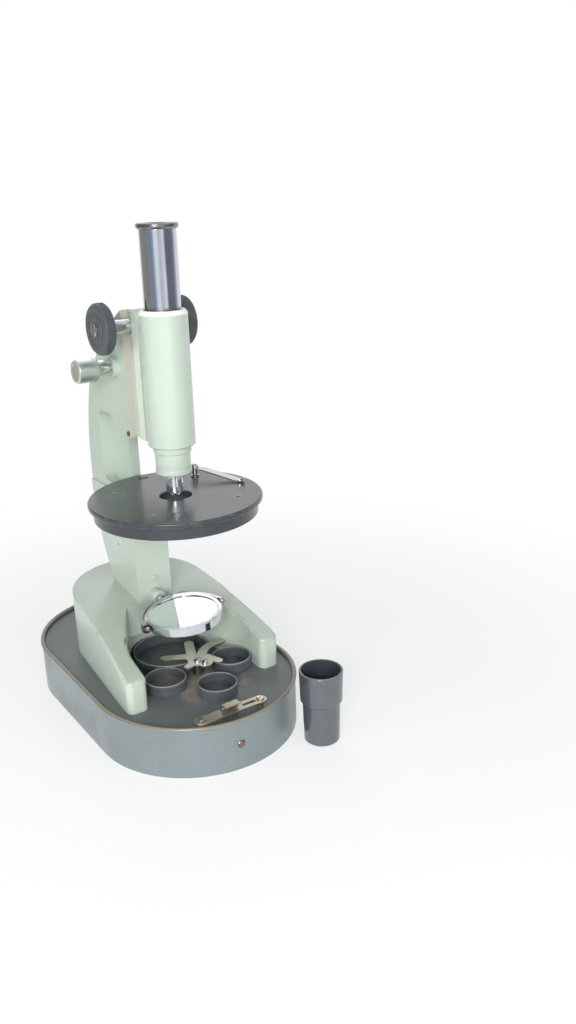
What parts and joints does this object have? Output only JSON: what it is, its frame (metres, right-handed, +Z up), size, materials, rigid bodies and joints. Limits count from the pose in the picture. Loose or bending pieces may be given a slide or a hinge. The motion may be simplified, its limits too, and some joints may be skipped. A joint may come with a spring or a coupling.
{
  "type": "compound microscope",
  "caption": "Compact school microscope with a horseshoe foot, bowed limb, round stage and swivelling mirror, on a rounded case tray with storage cups.",
  "frame": {"origin": "on the table, under the optical axis", "axes": "+Z up along the optical axis, -Y towards the open end of the foot, +X to the right when facing +Y"},
  "size_m": [0.1543, 0.2729, 0.3638],
  "materials": {
    "enamel_green": "satin",
    "enamel_black": "gloss",
    "enamel_cream": "satin",
    "tray_enamel": "satin",
    "deck_enamel": "matte",
    "cup_metal": "satin",
    "nickel": "polished",
    "worn_nickel": "worn",
    "steel": "satin",
    "blackened_steel": "satin",
    "brass": "satin",
    "optical_glass": "clear",
    "mirror_glass": "polished",
    "black_plastic": "gloss"
  },
  "bodies": {
    "stand": {"tray_pan": "tray_enamel", "tray_deck": "deck_enamel", "cup_left": "cup_metal", "cup_front": "cup_metal", "cup_right": "cup_metal", "cup_dish": "cup_metal", "retainer_star": "worn_nickel", "retainer_post": "steel", "retainer_screws": "nickel", "latch_plate": "worn_nickel", "latch_spacers": "worn_nickel", "latch_screws": "worn_nickel", "button_spring": "steel", "horseshoe_foot": "enamel_green", "foot_screws": "steel", "limb": "enamel_green", "pillar_bolts": "steel", "head_screw": "blackened_steel", "stage_plate": "enamel_black", "stage_ring": "enamel_black", "stage_screw": "blackened_steel", "mirror_bracket": "enamel_green", "bracket_screw": "enamel_green", "fine_bushes": "nickel"},
    "latch": {"latch_button": "blackened_steel", "latch_hook": "worn_nickel"},
    "clip": {"clip_post": "nickel", "stage_clip": "nickel", "clip_nut": "nickel"},
    "fork": {"mirror_fork": "nickel", "fork_pivots": "blackened_steel"},
    "mirror": {"mirror_cell": "nickel", "mirror_plane_glass": "mirror_glass", "mirror_hollow_glass": "mirror_glass"},
    "fine_carriage": {"carriage": "enamel_cream", "pinion_sleeves": "nickel"},
    "fine_drive": {"fine_spindle": "steel", "fine_knob_left": "nickel", "fine_knob_right": "nickel"},
    "tube": {"body_tube": "enamel_green", "body_top_ring": "enamel_cream", "tube_slide_bar": "brass", "slide_bar_screws": "brass", "nosepiece": "enamel_green", "objective_barrel": "nickel", "objective_lens": "optical_glass"},
    "coarse_drive": {"pinion_shaft": "steel", "coarse_knob_left": "enamel_black", "coarse_knob_right": "enamel_black", "coarse_knob_screws": "worn_nickel"},
    "drawn_tube": {"draw_tube": "nickel"},
    "eyepiece": {"eyepiece_body": "steel", "eye_lens": "optical_glass", "field_lens": "optical_glass", "field_stop": "blackened_steel"},
    "cap": {"dust_cap": "black_plastic"}
  },
  "joints": [
    {"name": "latch_slide", "type": "slide", "parent": "stand", "child": "latch", "axis": [0, 1, 0], "range_m": [0, 0.003], "stiffness_N_per_m": 150, "springref_m": -0.003, "deforming": ["button_spring"]},
    {"name": "clip_swivel", "type": "hinge", "parent": "stand", "child": "clip", "pos_m": [0.033, 0.031, 0.1784], "axis": [0, 0, 1], "range_deg": [-55, 70]},
    {"name": "fork_swivel", "type": "hinge", "parent": "stand", "child": "fork", "pos_m": [0, 0, 0.0842], "axis": [0, 1, 0], "range_deg": [-41, 49]},
    {"name": "mirror_tilt", "type": "hinge", "parent": "fork", "child": "mirror", "pos_m": [0, 0, 0.0842], "axis": [0.9976, 0, 0.0698], "continuous": true},
    {"name": "fine_slide", "type": "slide", "parent": "stand", "child": "fine_carriage", "axis": [0, 0, 1], "range_m": [-0.0009, 0.0009]},
    {"name": "fine_spin", "type": "hinge", "parent": "stand", "child": "fine_drive", "pos_m": [0, 0.056, 0.264], "axis": [1, 0, 0], "range_deg": [-95, 95]},
    {"name": "tube_slide", "type": "slide", "parent": "fine_carriage", "child": "tube", "axis": [0, 0, 1], "range_m": [0, 0.045]},
    {"name": "coarse_spin", "type": "hinge", "parent": "fine_carriage", "child": "coarse_drive", "pos_m": [0, 0.033, 0.295], "axis": [1, 0, 0], "range_deg": [-540, 20]},
    {"name": "draw_slide", "type": "slide", "parent": "tube", "child": "drawn_tube", "axis": [0, 0, 1], "range_m": [-0.04, 0.02]},
    {"name": "eyepiece_lift", "type": "slide", "parent": "drawn_tube", "child": "eyepiece", "axis": [0, 0, 1], "range_m": [0, 0.03]},
    {"name": "cap_lift", "type": "slide", "parent": "stand", "child": "cap", "axis": [0, 0, 1], "range_m": [0, 0.06]}
  ],
  "couplings": [
    {"joint": "fine_spin", "follows": "fine_slide", "rad_per_m": 1745.3},
    {"joint": "coarse_spin", "follows": "tube_slide", "rad_per_m": -208.33}
  ]
}
